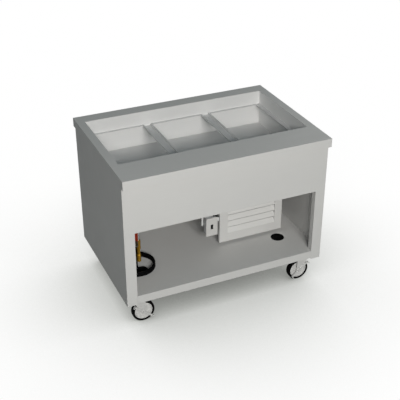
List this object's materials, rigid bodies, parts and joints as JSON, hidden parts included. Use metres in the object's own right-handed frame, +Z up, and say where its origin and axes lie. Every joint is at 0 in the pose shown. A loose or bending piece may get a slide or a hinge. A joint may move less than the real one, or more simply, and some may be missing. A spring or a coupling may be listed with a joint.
{
  "type": "mobile refrigerated salad bar",
  "caption": "Stainless mobile salad bar with a refrigerated drop-in well for food pans, an open shelf, a condensing unit behind louvers, a drain valve and swivel casters.",
  "frame": {"origin": "on the floor under the centre of the top", "axes": "+X along the cart's length towards the condensing unit, +Y from the open front to the closed back, +Z up"},
  "size_m": [1.1684, 0.8162, 0.9144],
  "materials": {
    "stainless_sheet": "fine brushed, satin",
    "well_steel": "satin",
    "galvanized_sheet": "dull zinc",
    "switch_steel": "satin",
    "foam": "closed-cell foam",
    "copper": "drawn copper",
    "fin_aluminium": "dull fins",
    "fan_aluminium": "stamped",
    "motor_enamel": "semi-gloss",
    "compressor_enamel": "semi-gloss",
    "black_rubber": "matte",
    "cord_jacket": "matte",
    "plug_plastic": "moulded",
    "rocker_plastic": "gloss",
    "strainer_steel": "polished",
    "valve_brass": "forged and nickel-free",
    "stem_chrome": "plated",
    "handle_red": "vinyl-dipped",
    "zinc_plate": "bright zinc",
    "lever_steel": "bright zinc",
    "hub_plastic": "light grey",
    "tyre_black": "matte"
  },
  "bodies": {
    "cart": {"countertop": "stainless_sheet", "well_liner": "well_steel", "pan_ledge": "well_steel", "well_insulation": "foam", "well_jacket": "galvanized_sheet", "evaporator_coil": "copper", "front_panel": "stainless_sheet", "left_side_panel": "stainless_sheet", "right_side_panel": "stainless_sheet", "rear_panel": "stainless_sheet", "bottom_shelf": "stainless_sheet", "shelf_grommets": "black_rubber", "caster_channels": "galvanized_sheet", "unit_base": "galvanized_sheet", "compressor": "compressor_enamel", "condenser_coil": "fin_aluminium", "fan_shroud": "galvanized_sheet", "fan_motor": "motor_enamel", "louvered_panel": "stainless_sheet", "suction_line": "foam", "refrigerant_lines": "copper", "switch_box": "galvanized_sheet", "switch_plate": "switch_steel", "plate_screws": "switch_steel", "control_cable": "black_rubber", "strain_relief": "plug_plastic", "cord_drop": "cord_jacket", "cord_coil": "cord_jacket", "cord_plug": "plug_plastic", "drain_strainer": "strainer_steel", "drain_nipple": "strainer_steel", "valve_body": "valve_brass", "drain_tail_pipe": "valve_brass", "caster_plates": "zinc_plate", "caster_kingpins": "zinc_plate", "caster_bolts": "zinc_plate"},
    "divider_bar_left": {"divider_bar_left": "well_steel"},
    "divider_bar_right": {"divider_bar_right": "well_steel"},
    "rocker": {"rocker_switch": "rocker_plastic"},
    "fan": {"fan_blade": "fan_aluminium"},
    "valve_lever": {"valve_handle": "handle_red", "valve_stem": "stem_chrome"},
    "fork_front_left": {"caster_fork_front_left": "zinc_plate", "caster_axle_front_left": "zinc_plate"},
    "wheel_front_left": {"wheel_hub_front_left": "hub_plastic", "tyre_front_left": "tyre_black"},
    "brake_front_left": {"brake_lever_front_left": "lever_steel"},
    "fork_front_right": {"caster_fork_front_right": "zinc_plate", "caster_axle_front_right": "zinc_plate"},
    "wheel_front_right": {"wheel_hub_front_right": "hub_plastic", "tyre_front_right": "tyre_black"},
    "brake_front_right": {"brake_lever_front_right": "lever_steel"},
    "fork_rear_left": {"caster_fork_rear_left": "zinc_plate", "caster_axle_rear_left": "zinc_plate"},
    "wheel_rear_left": {"wheel_hub_rear_left": "hub_plastic", "tyre_rear_left": "tyre_black"},
    "fork_rear_right": {"caster_fork_rear_right": "zinc_plate", "caster_axle_rear_right": "zinc_plate"},
    "wheel_rear_right": {"wheel_hub_rear_right": "hub_plastic", "tyre_rear_right": "tyre_black"}
  },
  "joints": [
    {"name": "left_bar_lift", "type": "slide", "parent": "cart", "child": "divider_bar_left", "axis": [0, 0, 1], "range_m": [0, 0.12]},
    {"name": "right_bar_lift", "type": "slide", "parent": "cart", "child": "divider_bar_right", "axis": [0, 0, 1], "range_m": [0, 0.12]},
    {"name": "rocker_tilt", "type": "hinge", "parent": "cart", "child": "rocker", "pos_m": [0.0268, -0.1075, 0.3434], "axis": [1, 0, 0], "range_deg": [-6, 6]},
    {"name": "fan_spin", "type": "hinge", "parent": "cart", "child": "fan", "pos_m": [0.262, -0.0261, 0.3694], "axis": [0, 1, 0], "continuous": true},
    {"name": "valve_turn", "type": "hinge", "parent": "cart", "child": "valve_lever", "pos_m": [-0.4405, -0.1847, 0.395], "axis": [0.7193, 0.6947, 0], "range_deg": [0, 90]},
    {"name": "swivel_front_left", "type": "hinge", "parent": "cart", "child": "fork_front_left", "pos_m": [-0.515, -0.3163, 0.146], "axis": [0, 0, 1], "continuous": true},
    {"name": "roll_front_left", "type": "hinge", "parent": "fork_front_left", "child": "wheel_front_left", "pos_m": [-0.477, -0.3163, 0.0635], "axis": [0, 1, 0], "continuous": true},
    {"name": "pedal_front_left", "type": "hinge", "parent": "fork_front_left", "child": "brake_front_left", "pos_m": [-0.477, -0.3163, 0.0635], "axis": [0, 1, 0], "range_deg": [-24, 0]},
    {"name": "swivel_front_right", "type": "hinge", "parent": "cart", "child": "fork_front_right", "pos_m": [0.515, -0.3163, 0.146], "axis": [0, 0, 1], "continuous": true},
    {"name": "roll_front_right", "type": "hinge", "parent": "fork_front_right", "child": "wheel_front_right", "pos_m": [0.477, -0.3163, 0.0635], "axis": [0, 1, 0], "continuous": true},
    {"name": "pedal_front_right", "type": "hinge", "parent": "fork_front_right", "child": "brake_front_right", "pos_m": [0.477, -0.3163, 0.0635], "axis": [0, 1, 0], "range_deg": [0, 24]},
    {"name": "swivel_rear_left", "type": "hinge", "parent": "cart", "child": "fork_rear_left", "pos_m": [-0.515, 0.3163, 0.146], "axis": [0, 0, 1], "continuous": true},
    {"name": "roll_rear_left", "type": "hinge", "parent": "fork_rear_left", "child": "wheel_rear_left", "pos_m": [-0.477, 0.3163, 0.0635], "axis": [0, 1, 0], "continuous": true},
    {"name": "swivel_rear_right", "type": "hinge", "parent": "cart", "child": "fork_rear_right", "pos_m": [0.515, 0.3163, 0.146], "axis": [0, 0, 1], "continuous": true},
    {"name": "roll_rear_right", "type": "hinge", "parent": "fork_rear_right", "child": "wheel_rear_right", "pos_m": [0.477, 0.3163, 0.0635], "axis": [0, 1, 0], "continuous": true}
  ]
}
